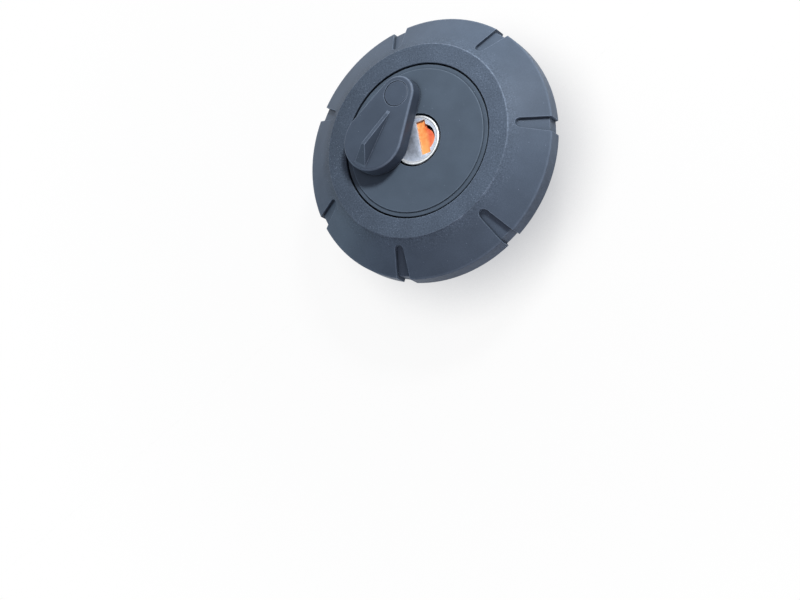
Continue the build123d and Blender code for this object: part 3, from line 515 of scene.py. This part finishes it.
def new_piece(name, form, material):
    """An object of one material, made from a bmesh that is finished and freed."""
    mesh = bpy.data.meshes.new(name)
    form.to_mesh(mesh)
    form.free()
    mesh.materials.append(material)
    piece = bpy.data.objects.new(name, mesh)
    bpy.context.scene.collection.objects.link(piece)
    return piece


# The two valve springs, each a welded copy of its coil that rides on a body
def valve_spring(name, node, body):
    """A coil of the node's own form, welded into one piece and put on a body in place of the hidden
    node.
    """
    coil = bmesh.new()
    coil.from_mesh(nodes[node].data)
    bmesh.ops.remove_doubles(coil, verts=coil.verts, dist=WELD_MM * MM)
    spring = new_piece(name, coil, finishes["spring_steel"])
    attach(spring, body)
    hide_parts(node)
    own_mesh(spring)


valve_spring(
    "pressure_coil", "pressure_spring", body="core",
)
valve_spring(
    "vacuum_coil", "vacuum_spring", body="pressure_plate",
)


# Floor, light and camera
def floor_material():
    """Pale floor, white to the camera with a soft contact shadow, and see-through from below."""
    material, shader = new_material("floor_white")
    feed(material, FLOOR_GREY, shader.inputs["Base Color"])
    feed(material, 0.9, shader.inputs["Roughness"])
    shade = openness(material, reach_mm=40, low=0.15, high=0.8, samples=FLOOR_SAMPLES)
    white = blend_colors(material, shade, CONTACT_SHADOW, PURE_WHITE)
    glow = add_node(material, "ShaderNodeEmission", {"Color": white, "Strength": 1.0})
    paled = remap(material, axis_radius(material), *mm(*WHITE_FLOOR_RADII), 0.94, 1.0)
    shown = product(material, seen_directly(material), paled)
    top = blend_shaders(material, shown, shader.outputs["BSDF"], glow.outputs["Emission"])
    clear = add_node(material, "ShaderNodeBsdfTransparent")
    below = add_node(material, "ShaderNodeNewGeometry").outputs["Backfacing"]
    surface = blend_shaders(material, below, top, clear.outputs["BSDF"])
    feed(material, surface, material.node_tree.nodes["Material Output"].inputs["Surface"])
    return material


def white_floor():
    """A level square just under the cap's rest face."""
    plan = bmesh.new()
    bmesh.ops.create_grid(plan, x_segments=1, y_segments=1, size=FLOOR_SIZE)
    bmesh.ops.translate(plan, verts=plan.verts, vec=(0, 0, -FLOOR_DROP_MM * MM))
    floor = new_piece("floor", plan, floor_material())


def white_world(strength, color):
    """White to the camera and to reflections, a soft even light for everything else."""
    world = bpy.data.worlds.new("studio")
    world.use_nodes = True
    world.node_tree.nodes.clear()
    light = add_node(world, "ShaderNodeBackground", {"Color": color, "Strength": strength})
    white = add_node(world, "ShaderNodeBackground", {"Color": PURE_WHITE, "Strength": 1.0})
    shown = blend_shaders(
        world, seen_directly(world), light.outputs["Background"], white.outputs["Background"]
    )
    add_node(world, "ShaderNodeOutputWorld", {"Surface": shown})
    bpy.context.scene.world = world


def soft_lamp(name, azimuth, elevation, distance, size, power, color=PURE_WHITE):
    """A square soft light that faces the cap's middle, in degrees, metres and watts."""
    turn, rise = math.radians(azimuth), math.radians(elevation)
    level = distance * math.cos(rise)
    offset = Vector((level * math.cos(turn), level * math.sin(turn), distance * math.sin(rise)))
    lamp = bpy.data.lights.new(name, "AREA")
    lamp.shape = "SQUARE"
    lamp.size = size
    lamp.energy = power
    lamp.color = color
    holder = bpy.data.objects.new(name, lamp)
    holder.location = LAMP_AIM + offset
    holder.rotation_euler = (-offset).to_track_quat("-Z", "Y").to_euler()
    holder.visible_camera = False
    bpy.context.scene.collection.objects.link(holder)


def photo_camera():
    """A long lens high over the cap's right side, rolled as in the photograph. Places in metres."""
    place = Vector((0.3342, -0.1560, 0.5796))
    aim = Vector((0.00549, -0.05366, 0.036))
    roll = math.radians(64.46)
    camera = bpy.data.cameras.new("camera")
    camera.lens = 90.0
    camera.sensor_width = 36.0
    holder = bpy.data.objects.new("camera", camera)
    turn = (aim - place).to_track_quat("-Z", "Y").to_matrix() @ Matrix.Rotation(-roll, 3, "Z")
    holder.matrix_world = Matrix.Translation(place) @ turn.to_4x4()
    bpy.context.scene.collection.objects.link(holder)
    bpy.context.scene.camera = holder


white_floor()
white_world(0.225, color=(0.96, 0.90, 1.0))
soft_lamp("key_light", azimuth=62, elevation=45, distance=0.32, size=0.06, power=1.08)
soft_lamp(
    "fill_light", azimuth=-47, elevation=2, distance=0.40, size=0.15, power=0.32,
    color=(0.98, 0.92, 1.0),
)
soft_lamp(
    "rim_light", azimuth=203, elevation=8, distance=0.40, size=0.12, power=0.34,
    color=(0.56, 0.82, 1.0),
)
photo_camera()
bpy.context.scene.view_settings.view_transform = "Standard"
